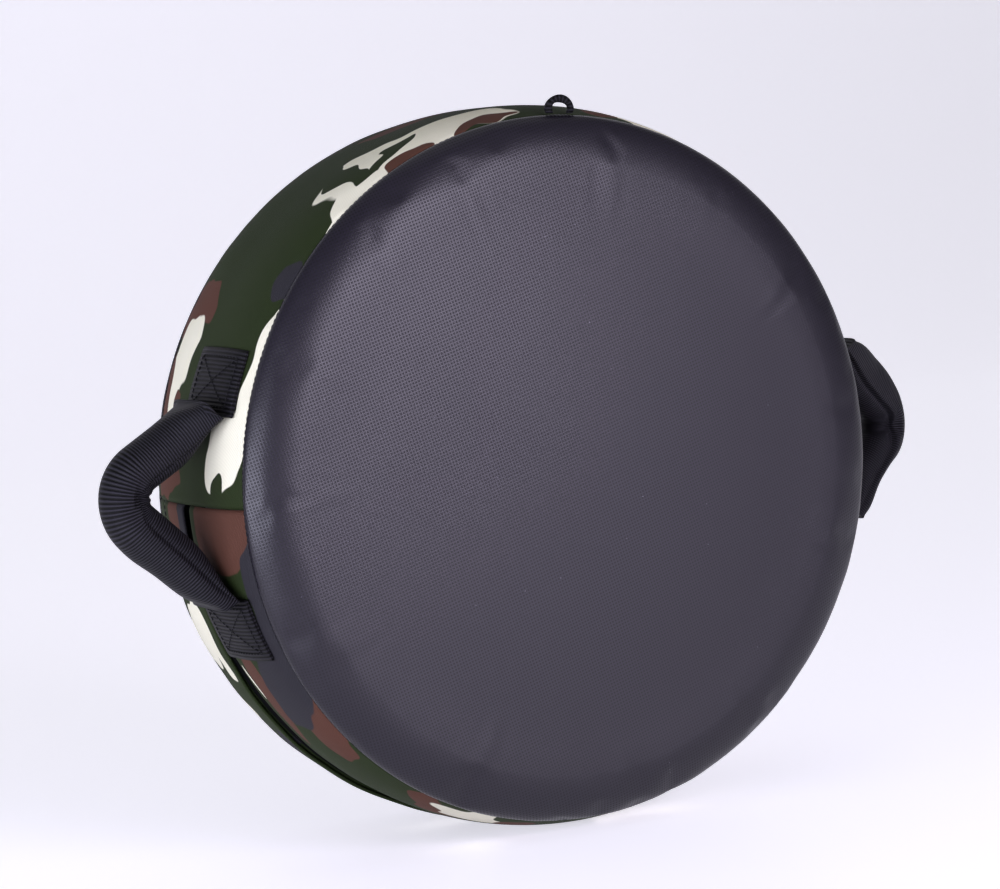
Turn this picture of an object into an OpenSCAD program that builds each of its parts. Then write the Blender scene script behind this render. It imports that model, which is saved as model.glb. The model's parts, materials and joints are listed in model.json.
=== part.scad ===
// Round strike pad: a zipped cloth cover round foam, with two grips and a hanging loop.
// The pad stands on its edge on the floor, with its crowned face towards -Y and +Z up.

/* [Pad] */
// Widest diameter of the pad, half way along its side
pad_d = 420; // [360:1:500]
// Distance between the two seams, along the pad's axis
wall_h = 122; // [114:1:160]
// How far the side draws in from its widest place to each seam
wall_drop = 8; // [3:0.5:12]
// Shape of the side's swell: 2 is a plain arc, more is flatter in the middle
wall_swell = 3; // [2:0.5:4]
// Height of each rounded face edge above its seam
shoulder_h = 13; // [8:0.5:20]
// How far each rounded face edge runs in from its seam
shoulder_run = 28; // [18:1:45]
// Rise of the front face at its middle
crown = 3; // [0.5:0.5:8]
// Depth of the flat that the pad stands on
stand_flat = 0.5; // [0.3:0.1:1.5]

/* [Cover] */
// Thickness of the face vinyl
face_t = 1.6; // [1:0.1:2.5]
// Thickness of the side cloth
band_t = 1.4; // [0.8:0.1:2]
// Width of the edges that are turned in at a seam
seam_turn = 7; // [4:0.5:10]
// Thickness of the folded flap beside the zip
flap_t = 2; // [1.2:0.1:3]
// Width of the plain strip between the rear seam and the flap
rear_strip = 17; // [12:1:24]
// Clearance between pieces that lie against each other
fit = 0.3; // [0.2:0.05:0.4]

/* [Foam] */
// Thickness of the middle foam sheet
core_h = 50; // [46:1:60]
// Thickness of the glue line between two foam sheets
glue = 0.1; // [0.05:0.05:0.3]

/* [Zip] */
// How far the zip's groove lies behind the middle of the side
zip_off = 3; // [1:0.5:5]
// Width of the open groove over the zip
zip_gap = 9.6; // [9:0.1:12]
// Depth of the zip tapes below the side
zip_drop = 6; // [5.8:0.1:8]
// Distance from each cross seam to the end of the tapes
zip_end = 15; // [10:1:25]
// Thickness of the zip tapes
tape_t = 0.8; // [0.5:0.1:1.2]
// How far each tape runs under the cloth
tape_hold = 9; // [6:0.5:10]
// Distance between two teeth of one row
tooth_pitch = 4.5; // [3.6:0.1:7]
// Height of a tooth
tooth_h = 2.6; // [1.8:0.1:2.8]
// Width of the closed row of teeth
chain_w = 5.8; // [5:0.1:6.2]
// How far a tooth reaches past the middle
tooth_lap = 0.9; // [0.5:0.1:1.4]
// Length of an end stop
stop_l = 3; // [2:0.5:4]
// Length of the slider
slider_l = 12; // [10:0.5:15]
// Clearance on each side of the slider in the groove
slider_gap = 0.6; // [0.4:0.1:1]
// Thickness of the slider's plates
slider_t = 1.1; // [0.8:0.1:1.2]
// Running clearance of the slider on the teeth and the tapes
slide_fit = 0.4; // [0.25:0.05:0.5]
// Radius of the slider's cross bar
bar_r = 0.6; // [0.4:0.05:0.7]
// Width of the post that joins the slider's plates
post_w = 2.2; // [1.6:0.1:3]
// Length of the slider's lugs
lug_l = 3; // [2.6:0.1:4]
// Width of the pull's eye
eye_w = 2.4; // [1.6:0.1:3]
// Wall of the pull's eye round the bar
eye_t = 0.45; // [0.35:0.05:0.55]
// Length of the pull
pull_l = 22; // [14:1:28]
// Width of the pull
pull_w = 5; // [4.6:0.1:6]
// Thickness of the pull
pull_t = 1.2; // [0.8:0.1:1.4]

/* [Grips] */
// Width of the webbing
strap_w = 50; // [40:1:54]
// Thickness of one layer of webbing
web_t = 1.7; // [1:0.1:2.5]
// Distance between the two sewn folds of a grip
grip_span = 102; // [96:1:130]
// Length of each sewn tab
tab_l = 38.5; // [25:0.5:60]
// Distance from the groove over the zip to the tabs
tab_gap = 0.4; // [0.2:0.1:2]
// Reach of a grip's middle line beyond the line through its folds
grip_reach = 52; // [50:1:70]
// Bend radius of a grip's middle line
bend_r = 20; // [17:0.5:24]
// Diameter of a grip
grip_d = 28; // [22:0.5:30]
// Length, out from the folds, over which a grip goes from flat to round
neck_run = 26; // [24:0.5:30]
// Thickness of a grip at the flat mouth of its sleeve
mouth_t = 12; // [8:0.5:16]
// How far the left grip's bend stands above the middle
left_lift = 9; // [-10:1:10]
// How far the right grip's bend stands above the middle
right_lift = -2; // [-10:1:10]
// How far the right grip hangs back from straight out, in degrees
right_sway = 20; // [0:1:25]

/* [Loop] */
// Distance of the loop to the right of the top
loop_off = 9.5; // [0:0.5:30]
// Radius of the loop's two bends, inside
loop_r = 4.4; // [3.5:0.1:8]
// Straight stretch of the loop's strand between its bends
loop_top = 2.4; // [1:0.1:8]
// Thickness of the loop's strand
loop_t = 3.8; // [2.5:0.1:5]
// Width of the loop's strand
loop_w = 4.4; // [4:0.1:6]
// Rounding of the strand's edges
loop_round = 1.2; // [0.5:0.1:1.8]
// Height of the anchor tape over the seam
anchor_h = 0.6; // [0.4:0.1:1]

/* [Hidden] */
$fn = 120;

vinyl_black = "#2b2a30";
cloth_green = "#4a5634";
cloth_brown = "#5a4136";
web_black = "#1d1c20";
foam_grey = "#8b8f94";
zip_black = "#141416";
zip_metal = "#77797d";

pad_r = pad_d / 2;
half_h = wall_h / 2;
seam_r = pad_r - wall_drop;
face_r = seam_r - shoulder_run;
stand_h = pad_r - stand_flat;
seam_at = half_h - fit / 2;
turn_at = seam_at - band_t;
turn_r = seam_r - seam_turn;
wall_steps = 16;
shoulder_steps = 9;
crown_steps = 6;

// Places along the pad's axis, counted towards the front
zip_at = -zip_off;
zip_front_edge = zip_at + zip_gap / 2;
zip_rear_edge = zip_at - zip_gap / 2;
flap_root = rear_strip - half_h;
strap_at = zip_front_edge + tab_gap + strap_w / 2;

// Radii of the zip, worked out from the tapes outwards
tape_top = pad_r - zip_drop;
tooth_mid = tape_top - tape_t / 2;
tooth_top = tooth_mid + tooth_h / 2;
tooth_low = tooth_mid - tooth_h / 2;
plate_low = tooth_top + slide_fit;
plate_top = plate_low + slider_t;
eye_r = bar_r + slide_fit / 2 + eye_t;
bar_at = plate_top + eye_r + slide_fit / 2;
slider_low = tooth_low - slide_fit - slider_t;
slider_w = zip_gap - 2 * slider_gap;
lug_w = (slider_w - eye_w) / 2 - 2 * slide_fit;
pull_from = lug_l / 2 + 2 * slide_fit;
channel_r = slider_low - slide_fit;
room_depth = 3 * zip_drop;

// Angles of the zip, counted from the right through the top
zip_end_deg = arc_deg(zip_end, tape_top);
stop_deg = arc_deg(stop_l, tape_top);
slider_deg = arc_deg(slider_l, tape_top);
pitch_deg = arc_deg(tooth_pitch, tape_top);
fit_deg = arc_deg(slide_fit, tape_top);
tape_from = 180 + zip_end_deg;
tape_to = 360 - zip_end_deg;
slider_at = tape_to - stop_deg - fit_deg - slider_deg / 2;
chain_from = tape_from + stop_deg + fit_deg;
teeth = floor((slider_at - chain_from) / pitch_deg);

// Grip geometry, in the plane through its two folds
tab_t = 2 * web_t;
tab_mid = wall_r(strap_at) + fit + tab_t / 2;
neck_rise = pad_r - wall_r(strap_at);
fold_deg = asin(grip_span / 2 / tab_mid);
tab_deg = arc_deg(tab_l, tab_mid);
fold_x = tab_mid * cos(fold_deg);
fold_y = grip_span / 2;
bend_x = fold_x + grip_reach - bend_r;
strap_folds = 3;
strap_in_w = strap_w / strap_folds;
strap_in_t = web_t * strap_folds;
strap_round = 0.5;
swell_part = [0.1, 0.5];
round_part = [0.4, 1];
neck_rings = 9;
bend_steps = 12;
grip_sides = 20;

// Loop geometry
loop_deg = 90 - arc_deg(loop_off, seam_r);
loop_at = half_h + fit + loop_w / 2;
loop_hinge_r = seam_r + anchor_h + fit + loop_w / 2;
anchor_deg = arc_deg(2 * (loop_r + loop_t) + loop_top, seam_r);
anchor_steps = 4;

function arc_deg(length, radius) = length / radius * 180 / PI;
function ease(t) = t * t * (3 - 2 * t);
function wall_r(w) = pad_r - wall_drop * pow(abs(w) / half_h, wall_swell);

// Points of the side between two places along the axis, sunk by a depth
function wall_line(from, to, depth) =
  [for (i = [0:wall_steps]) let (w = from + (to - from) * i / wall_steps) [wall_r(w) - depth, w]];

// Points of a rounded face edge and of the face to its middle, sunk by a depth
function face_line(rise, depth, first) = concat(
  [for (i = [first:shoulder_steps]) let (a = 90 * i / shoulder_steps)
    [face_r + (shoulder_run - depth) * cos(a), half_h + (shoulder_h - depth) * sin(a)]],
  [for (i = [1:crown_steps]) let (r = face_r * (1 - i / crown_steps))
    [r, half_h + shoulder_h - depth + rise * (1 - pow(r / face_r, 2))]]
);

function reversed(list) = [for (i = [len(list) - 1:-1:0]) list[i]];

// Stands the pad up: its axis, modelled along Z with the front up, comes to lie along -Y
module stood_up() translate([0, 0, stand_h]) rotate([90, 0, 0]) children();

// Cuts the flat that the pad stands on
module stood_flat() difference() {
  children();
  translate([-pad_r, -pad_d - stand_h, -half_h]) cube([pad_d, pad_d, wall_h]);
}

module ring_part(from, to) rotate([0, 0, from]) rotate_extrude(angle = to - from) children();

// Face panels: a shallow dish with its edge turned in at the seam
module face_profile(rise) {
  low = half_h + fit / 2;
  polygon(concat(
    [[seam_r - seam_turn, low], [seam_r, low]],
    face_line(rise, 0, 1),
    reversed(face_line(rise, face_t, 2)),
    [[seam_r - 1.5 * face_t, low + face_t], [seam_r - seam_turn, low + face_t]]
  ));
}

module front_panel() color(vinyl_black) stood_up() rotate_extrude() face_profile(crown);

module rear_panel() color(vinyl_black) stood_up() mirror([0, 0, 1]) rotate_extrude() face_profile(0);

// Side bands: cloth strips with their edges turned in at the seams and at the zip
module upper_band() color(cloth_green) stood_up() ring_part(0, 180) polygon(concat(
  [[turn_r, -seam_at]],
  wall_line(-seam_at, seam_at, 0),
  [[turn_r, seam_at], [turn_r, turn_at]],
  wall_line(turn_at, -turn_at, band_t),
  [[turn_r, -turn_at]]
));

module lower_ring() {
  gap_deg = arc_deg(fit, pad_r);
  ring_part(180 + gap_deg, 360 - gap_deg) children();
}

module lower_front_band() color(cloth_brown) stood_up() stood_flat() lower_ring() polygon(concat(
  [[tape_top + fit, zip_front_edge]],
  wall_line(zip_front_edge, seam_at, 0),
  [[turn_r, seam_at], [turn_r, turn_at]],
  wall_line(turn_at, zip_front_edge + band_t, band_t),
  [[tape_top + fit, zip_front_edge + band_t]]
));

// The rear strip steps down under the flap and on to the zip
module lower_rear_band() {
  step = flap_root - fit;
  under = flap_t + fit;
  edge = zip_rear_edge - flap_t;
  color(cloth_green) stood_up() stood_flat() lower_ring() polygon(concat(
    [[turn_r, -seam_at]],
    wall_line(-seam_at, step, 0),
    wall_line(step, edge, under),
    [[tape_top + fit, edge], [tape_top + fit, edge - band_t]],
    wall_line(edge - band_t, step - band_t, under + band_t),
    wall_line(step - band_t, -turn_at, band_t),
    [[turn_r, -turn_at]]
  ));
}

module zip_flap() color(cloth_green) stood_up() stood_flat() lower_ring() polygon(concat(
  wall_line(flap_root, zip_rear_edge, 0),
  reversed(wall_line(flap_root, zip_rear_edge, flap_t))
));

// Foam: three glued sheets that fill the cover, with room for the seams and the zip
module foam_profile(rise) {
  skin = face_t + fit;
  polygon(concat(
    [[0, 0]],
    wall_line(0, half_h - band_t - fit, band_t + fit),
    [
      [seam_r - seam_turn - fit, half_h - band_t - fit],
      [seam_r - seam_turn - fit, half_h + skin + fit]
    ],
    face_line(rise, skin, 3)
  ));
}

module zip_room() {
  hold = tape_hold + band_t + fit;
  rear_edge = zip_rear_edge - flap_t - hold;
  shelf = flap_t + 2 * fit + band_t;
  ring_part(180, 360) {
    translate([channel_r, rear_edge]) square([room_depth, zip_front_edge + hold - rear_edge]);
    translate([wall_r(flap_root) - shelf - fit, flap_root - 2 * band_t - fit])
      square([room_depth, rear_edge - flap_root + 2 * band_t + 2 * fit]);
  }
}

module foam_stack() difference() {
  union() {
    rotate_extrude() foam_profile(crown);
    mirror([0, 0, 1]) rotate_extrude() foam_profile(0);
  }
  zip_room();
}

module foam_sheet(from, to) color(foam_grey) stood_up() intersection() {
  foam_stack();
  translate([0, 0, from]) cylinder(r = pad_d, h = to - from);
}

module front_foam() foam_sheet(core_h / 2 + glue, wall_h);
module core_foam() foam_sheet(-core_h / 2, core_h / 2);
module rear_foam() foam_sheet(-wall_h, -core_h / 2 - glue);

// Zip: two tapes with a row of separate teeth each, end stops, slider and pull
module zip_tape(from, to) color(zip_black) stood_up() ring_part(tape_from, tape_to)
  translate([tape_top - tape_t, from]) square([tape_t, to - from]);

module zip_tape_front() zip_tape(zip_at + chain_w / 2 + fit / 2, zip_front_edge + tape_hold);
module zip_tape_rear() zip_tape(zip_rear_edge - flap_t - tape_hold, zip_at - chain_w / 2 - fit / 2);

module tooth_row(side, shift) {
  tooth_l = tooth_pitch / 2 - fit;
  reach = chain_w / 2 + tooth_lap;
  for (i = [0:teeth - 1]) rotate([0, 0, chain_from + (i + shift) * pitch_deg])
    translate([tooth_low, -tooth_l / 2, side > 0 ? zip_at - tooth_lap : zip_at - chain_w / 2])
      cube([tooth_h, tooth_l, reach]);
}

module zip_teeth_front() color(zip_black) stood_up() tooth_row(1, 0.5);
module zip_teeth_rear() color(zip_black) stood_up() tooth_row(-1, 1);

module stop_block(at, from, width) rotate([0, 0, at])
  translate([tooth_low, -stop_l / 2 + fit, from]) cube([tooth_h, stop_l - 2 * fit, width]);

module zip_stops() color(zip_metal) stood_up() {
  stop_w = chain_w / 3;
  stop_block(tape_from + stop_deg / 2, zip_at - chain_w / 2, chain_w);
  for (from = [zip_at - chain_w / 2, zip_at + chain_w / 2 - stop_w])
    stop_block(tape_to - stop_deg / 2, from, stop_w);
}

module slider_plate(low, high, lip_low, lip_high) {
  lip_t = (slider_w - chain_w) / 2 - slide_fit;
  translate([low, -slider_w / 2]) square([high - low, slider_w]);
  for (from = [-slider_w / 2, slider_w / 2 - lip_t])
    translate([lip_low, from]) square([lip_high - lip_low, lip_t]);
}

module zip_slider() color(zip_metal) stood_up() translate([0, 0, zip_at]) {
  post_deg = slider_deg / 4;
  ring_part(slider_at - slider_deg / 2, slider_at + slider_deg / 2) {
    slider_plate(plate_low, plate_top, tape_top + slide_fit, plate_low + slider_t / 2);
    slider_plate(
      slider_low, slider_low + slider_t, slider_low + slider_t / 2, tape_top - tape_t - slide_fit
    );
  }
  ring_part(slider_at + slider_deg / 2 - post_deg, slider_at + slider_deg / 2 - post_deg / 4)
    translate([slider_low + slider_t / 2, -post_w / 2]) square([plate_top - slider_low - slider_t, post_w]);
  rotate([0, 0, slider_at]) {
    for (side = [-1, 1]) translate([plate_top - slider_t / 2, -lug_l / 2, -lug_w / 2])
      translate([0, 0, side * (eye_w / 2 + slide_fit + lug_w / 2)])
        cube([bar_at + bar_r + eye_t - plate_top + slider_t / 2, lug_l, lug_w]);
    translate([bar_at, 0, -eye_w / 2 - slide_fit - lug_w / 2])
      cylinder(r = bar_r, h = eye_w + 2 * slide_fit + lug_w, $fn = 32);
  }
}

module zip_pull() color(zip_metal) stood_up() rotate([0, 0, slider_at]) translate([bar_at, 0, zip_at]) {
  translate([-pull_t / 2, -pull_l, -pull_w / 2]) cube([pull_t, pull_l - pull_from, pull_w]);
  difference() {
    union() {
      cylinder(r = eye_r, h = eye_w, center = true, $fn = 48);
      translate([-pull_t / 2, -pull_from - pull_t, -eye_w / 2]) cube([pull_t, pull_from + pull_t, eye_w]);
    }
    cylinder(r = eye_r - eye_t, h = 2 * eye_w, center = true, $fn = 48);
  }
}

// Grips, modelled on the right: sewn tabs, flat-to-round necks and a padded sleeve
module tab(side) {
  from = strap_at - strap_w / 2;
  to = strap_at + strap_w / 2;
  start = side > 0 ? fold_deg : -fold_deg - tab_deg;
  color(web_black) ring_part(start, start + tab_deg) polygon(concat(
    wall_line(from, to, -fit - tab_t),
    reversed(wall_line(from, to, -fit))
  ));
}

// Turns a point back round the upright line through the folds
function swayed(p, turn) = [
  fold_x + (p.x - fold_x) * cos(turn) + (p.z - strap_at) * sin(turn),
  p.y,
  strap_at - (p.x - fold_x) * sin(turn) + (p.z - strap_at) * cos(turn)
];

// One ring of points round a place on a grip's middle line. A roundness of 1 gives an
// ellipse, and less gives a bar with rounded corners.
function bar_ring(centre, normal, thick, wide, roundness, turn) =
  [for (i = [0:grip_sides - 1])
    let (
      a = 360 * i / grip_sides,
      u = sign(cos(a)) * pow(abs(cos(a)), roundness) * wide / 2,
      v = sign(sin(a)) * pow(abs(sin(a)), roundness) * thick / 2,
      p = centre + normal * v
    )
    swayed([p.x, p.y, strap_at + u], turn)];

function side_faces(rings, closed) =
  let (n = len(rings), m = grip_sides)
  [for (i = [0:n - (closed ? 1 : 2)], j = [0:m - 1])
    let (k = (j + 1) % m, a = i * m, b = (i + 1) % n * m)
    each [[a + j, b + j, b + k], [a + j, b + k, a + k]]];

// A solid bar through its rings, with flat ends
module bar(rings) {
  last = (len(rings) - 1) * grip_sides;
  polyhedron([for (ring = rings) each ring], concat(
    [[for (i = [0:grip_sides - 1]) i]],
    side_faces(rings, false),
    [[for (i = [grip_sides - 1:-1:0]) last + i]]
  ));
}

// A tube between its outer and its inner rings
module tube(outer, inner) {
  rings = concat(outer, reversed(inner));
  polyhedron([for (ring = rings) each ring], side_faces(rings, true));
}

// Slope of the arm from the fold on one side, which meets the bend at a tangent
function arm_deg(side, lift) =
  let (run = bend_x - fold_x, rise = fold_y - side * lift)
  acos(bend_r / norm([run, rise])) - atan2(run, rise);

function arm_way(side, lift) =
  let (a = arm_deg(side, lift))
  [cos(a), -side * sin(a)];

// Where a neck ends and the sleeve begins
function sleeve_start(side, lift) =
  let (way = arm_way(side, lift))
  [fold_x, side * fold_y] + neck_run / way.x * way;

// Middle line of a neck: along the tab at the fold, along the arm at the sleeve
function neck_point(t, side, lift) =
  let (
    along = [sin(fold_deg), -side * cos(fold_deg)],
    way = arm_way(side, lift),
    start = [fold_x, side * fold_y] * (1 + neck_rise / tab_mid) + fit * along,
    end = sleeve_start(side, lift) - fit * way,
    a = start + web_t * along,
    b = start + mouth_t / 2 * way
  )
  pow(1 - t, 3) * start + 3 * t * pow(1 - t, 2) * a + 3 * t * t * (1 - t) * b + pow(t, 3) * end;

function neck_normal(t, side, lift) =
  let (
    step = 0.01,
    d = neck_point(min(t + step, 1), side, lift) - neck_point(max(t - step, 0), side, lift)
  )
  side * [-d.y, d.x] / norm(d);

function part_way(t, part) = ease(max(0, min(1, (t - part[0]) / (part[1] - part[0]))));

// The neck is a flat bar at the fold, swells outwards to the mouth and is round at the sleeve
module neck(side, lift, turn) color(web_black) bar([
  for (i = [0:neck_rings])
    let (
      t = i / neck_rings,
      k = ease(t),
      wide = strap_w + (grip_d - strap_w) * k,
      swell = (mouth_t - tab_t) * part_way(t, swell_part) + (grip_d - mouth_t) * part_way(t, round_part),
      n = neck_normal(t, side, lift),
      centre = neck_point(t, side, lift) + n * swell / 2 * (1 - k)
    )
    bar_ring(centre, n, side * (tab_t + swell), wide, 1 / (3 - 2 * k), turn * k * t)
]);

// Rings along a grip's two arms and its bend
function grip_rings(thick, wide, roundness, lift, turn) =
  let (
    top = 90 - arm_deg(1, lift),
    low = arm_deg(-1, lift) - 90,
    ring_at = function (centre, a) bar_ring(centre, [cos(a), sin(a)], thick, wide, roundness, turn)
  )
  concat(
    [ring_at(sleeve_start(1, lift), top)],
    [for (i = [0:bend_steps])
      let (a = top + (low - top) * i / bend_steps)
      ring_at([bend_x, lift] + bend_r * [cos(a), sin(a)], a)],
    [ring_at(sleeve_start(-1, lift), low)]
  );

module sleeve(lift, turn) {
  inner_d = grip_d - 2 * web_t;
  color(web_black) tube(
    grip_rings(grip_d, grip_d, 1, lift, turn),
    grip_rings(inner_d, inner_d, 1, lift, turn)
  );
}

// Inside the sleeve the webbing runs on, folded in three, with foam round it
module grip_foam(lift, turn) {
  foam_d = grip_d - 2 * web_t - 2 * fit;
  color(foam_grey) tube(
    grip_rings(foam_d, foam_d, 1, lift, turn),
    grip_rings(strap_in_t + 2 * fit, strap_in_w + 2 * fit, strap_round, lift, turn)
  );
}

module strap(lift, turn) color(web_black) bar(grip_rings(strap_in_t, strap_in_w, strap_round, lift, turn));

module on_left() mirror([1, 0, 0]) children();

module left_upper_tab() stood_up() on_left() tab(1);
module left_lower_tab() stood_up() on_left() tab(-1);
module left_upper_neck() stood_up() on_left() neck(1, left_lift, 0);
module left_lower_neck() stood_up() on_left() neck(-1, left_lift, 0);
module left_sleeve() stood_up() on_left() sleeve(left_lift, 0);
module left_grip_foam() stood_up() on_left() grip_foam(left_lift, 0);
module left_strap() stood_up() on_left() strap(left_lift, 0);
module right_upper_tab() stood_up() tab(1);
module right_lower_tab() stood_up() tab(-1);
module right_upper_neck() stood_up() neck(1, right_lift, right_sway);
module right_lower_neck() stood_up() neck(-1, right_lift, right_sway);
module right_sleeve() stood_up() sleeve(right_lift, right_sway);
module right_grip_foam() stood_up() grip_foam(right_lift, right_sway);
module right_strap() stood_up() strap(right_lift, right_sway);

// Hanging loop on its anchor tape at the front seam
module loop_section() {
  core = [loop_t, loop_w] - 2 * loop_round * [1, 1];
  square([loop_t, core.y], center = true);
  square([core.x, loop_w], center = true);
  for (x = [-1, 1], y = [-1, 1]) translate([x * core.x / 2, y * core.y / 2]) circle(loop_round, $fn = 32);
}

module at_loop() stood_up() rotate([0, 0, loop_deg]) translate([loop_hinge_r, 0, loop_at]) children();

// One bend of the loop with its foot, which is round about the axis that the loop flops on
module loop_bend() {
  size = 4 * (loop_r + loop_t);
  intersection() {
    rotate_extrude() translate([loop_r + loop_t / 2, 0]) loop_section();
    union() {
      translate([0, 0, -size / 2]) cube(size);
      rotate([-90, 0, 0]) cylinder(r = loop_w / 2, h = size, $fn = 64);
    }
  }
}

module hanging_loop() color(web_black) at_loop() {
  for (side = [0, 1]) mirror([0, side, 0]) translate([0, loop_top / 2, 0]) loop_bend();
  translate([loop_r + loop_t / 2, 0, 0])
    rotate([90, 0, 0]) linear_extrude(loop_top, center = true) loop_section();
}

module loop_anchor() color(web_black) stood_up() {
  high = seam_r + anchor_h;
  low = half_h + fit;
  to = loop_at + loop_w / 2;
  ring_part(loop_deg - anchor_deg / 2, loop_deg + anchor_deg / 2) polygon(concat(
    [[high, to], [high, low]],
    [for (i = [0:anchor_steps]) let (w = low + (to - low) * i / anchor_steps)
      [face_r + fit + shoulder_run * sqrt(1 - pow((w - half_h) / shoulder_h, 2)), w]]
  ));
}

front_panel();
rear_panel();
upper_band();
lower_front_band();
lower_rear_band();
zip_flap();
front_foam();
core_foam();
rear_foam();
zip_tape_front();
zip_tape_rear();
zip_teeth_front();
zip_teeth_rear();
zip_stops();
zip_slider();
zip_pull();
left_upper_tab();
left_lower_tab();
left_upper_neck();
left_lower_neck();
left_sleeve();
left_grip_foam();
left_strap();
right_upper_tab();
right_lower_tab();
right_upper_neck();
right_lower_neck();
right_sleeve();
right_grip_foam();
right_strap();
loop_anchor();
hanging_loop();
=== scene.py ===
import json
import math

import bmesh
import bpy
from mathutils import Matrix, Vector, noise
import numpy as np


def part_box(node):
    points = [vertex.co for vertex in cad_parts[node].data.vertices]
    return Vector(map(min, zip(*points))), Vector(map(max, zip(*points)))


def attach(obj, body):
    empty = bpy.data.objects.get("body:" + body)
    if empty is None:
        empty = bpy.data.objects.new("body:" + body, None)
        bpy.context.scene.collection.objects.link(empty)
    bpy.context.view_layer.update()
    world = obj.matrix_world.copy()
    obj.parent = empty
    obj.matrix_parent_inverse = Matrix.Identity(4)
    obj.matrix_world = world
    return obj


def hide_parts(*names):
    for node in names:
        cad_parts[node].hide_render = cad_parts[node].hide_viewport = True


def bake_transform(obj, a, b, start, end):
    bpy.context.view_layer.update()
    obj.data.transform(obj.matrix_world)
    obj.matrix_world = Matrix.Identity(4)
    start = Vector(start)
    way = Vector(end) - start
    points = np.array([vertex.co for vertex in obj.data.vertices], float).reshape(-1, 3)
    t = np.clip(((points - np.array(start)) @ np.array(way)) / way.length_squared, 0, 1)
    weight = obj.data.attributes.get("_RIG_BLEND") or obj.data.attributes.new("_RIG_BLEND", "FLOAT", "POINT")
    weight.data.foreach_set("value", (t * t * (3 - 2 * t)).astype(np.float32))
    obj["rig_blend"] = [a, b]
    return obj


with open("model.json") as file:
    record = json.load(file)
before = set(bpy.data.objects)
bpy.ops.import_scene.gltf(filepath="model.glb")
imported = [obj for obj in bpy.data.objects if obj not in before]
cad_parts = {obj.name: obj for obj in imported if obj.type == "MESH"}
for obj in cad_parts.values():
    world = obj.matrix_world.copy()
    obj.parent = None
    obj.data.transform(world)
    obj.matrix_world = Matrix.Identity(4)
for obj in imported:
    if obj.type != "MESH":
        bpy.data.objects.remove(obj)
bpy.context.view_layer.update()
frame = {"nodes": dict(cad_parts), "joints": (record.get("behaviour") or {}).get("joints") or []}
nodes = frame["nodes"]
scene = bpy.context.scene
scene.view_settings.view_transform = "Standard"
mm = 0.001
fullTurn = 2 * math.pi
print("frame loaded:", len(nodes), "nodes")

# sizes that several pieces share, read from the frame
upperLow, upperHigh = [Vector(corner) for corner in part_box("upper_band")]
frontLow, frontHigh = [Vector(corner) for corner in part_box("front_panel")]
flapLow, flapHigh = [Vector(corner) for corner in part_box("zip_flap")]
lowerFrontHigh = Vector(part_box("lower_front_band")[1])
tabLow, tabHigh = [Vector(corner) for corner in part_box("left_upper_tab")]
loopLow, loopHigh = [Vector(corner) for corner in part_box("hanging_loop")]
pad = {
    "centre": Vector((0, 0, upperLow.z)),
    "radius": upperHigh.z - upperLow.z,
    "edge": upperHigh.y,  # from the middle of the side to a seam
    "seamRadius": (frontHigh.x - frontLow.x) / 2,
    "swell": 3,  # higher is flatter in the middle of the side
}


def wallRadius(across):
    drop = pad["radius"] - pad["seamRadius"]
    return pad["radius"] - drop * min(1, abs(across / pad["edge"])) ** pad["swell"]


# the angle runs from the right through the top, and across from the front to the rear
def padPoint(angle, radius, across):
    return pad["centre"] + Vector((radius * math.cos(angle), across, radius * math.sin(angle)))


def angleOf(point):
    return math.atan2(point.z - pad["centre"].z, point.x)


def ease(t):
    t = max(0, min(1, t))
    return t * t * (3 - 2 * t)


# soft random folds: every is the size of one round the pad, and tall its size the other way
def foldAt(fold, angle, run, hand=1):
    seed = fold["seed"] * hand
    return noise.noise(Vector((angle * pad["radius"] / fold["every"], run / fold["tall"], seed)))


# camera
view = {
    "azimuth": -27.908,
    "elevation": 5.5,
    "roll": -4.2,
    "distance": 1.818,
    "lens": 110.99,
    "shiftX": -0.01766,
    "shiftY": 0.01975,
}
cameraData = bpy.data.cameras.new("camera")
cameraData.sensor_fit = "HORIZONTAL"
cameraData.sensor_width = 36
cameraData.lens = view["lens"]
cameraData.shift_x = view["shiftX"]
cameraData.shift_y = view["shiftY"]
camera = bpy.data.objects.new("camera", cameraData)
scene.collection.objects.link(camera)
scene.camera = camera
camera.matrix_world = (
    Matrix.Translation(pad["centre"])
    @ Matrix.Rotation(math.radians(view["azimuth"]), 4, "Z")
    @ Matrix.Rotation(math.radians(90 - view["elevation"]), 4, "X")
    @ Matrix.Rotation(math.radians(view["roll"]), 4, "Z")
    @ Matrix.Translation((0, 0, view["distance"]))
)
print("camera placed")


# materials
def linear(hexColour):
    parts = [int(hexColour[i : i + 2], 16) / 255 for i in (1, 3, 5)]
    return [c / 12.92 if c <= 0.04045 else ((c + 0.055) / 1.055) ** 2.4 for c in parts] + [1]


def addNode(tree, kind, inputs=None, **settings):
    node = tree.nodes.new(kind)
    for name, value in settings.items():
        setattr(node, name, value)
    for name, value in (inputs or {}).items():
        if isinstance(value, bpy.types.NodeSocket):
            tree.links.new(value, node.inputs[name])
        else:
            node.inputs[name].default_value = value
    return node


def newMaterial(name, roughness, specular):
    material = bpy.data.materials.new(name)
    material.use_nodes = True
    tree = material.node_tree
    shader = tree.nodes["Principled BSDF"]
    shader.inputs["Roughness"].default_value = roughness
    shader.inputs["Specular IOR Level"].default_value = specular
    return material, tree, shader


# a wave texture repeats every pi / 10 units at scale 1
def waveScale(pitchInMm):
    return math.pi / 10 / (pitchInMm * mm)


# a noise texture has one lump for each unit at scale 1
def lumpScale(sizeInMm):
    return 1 / (sizeInMm * mm)


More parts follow.
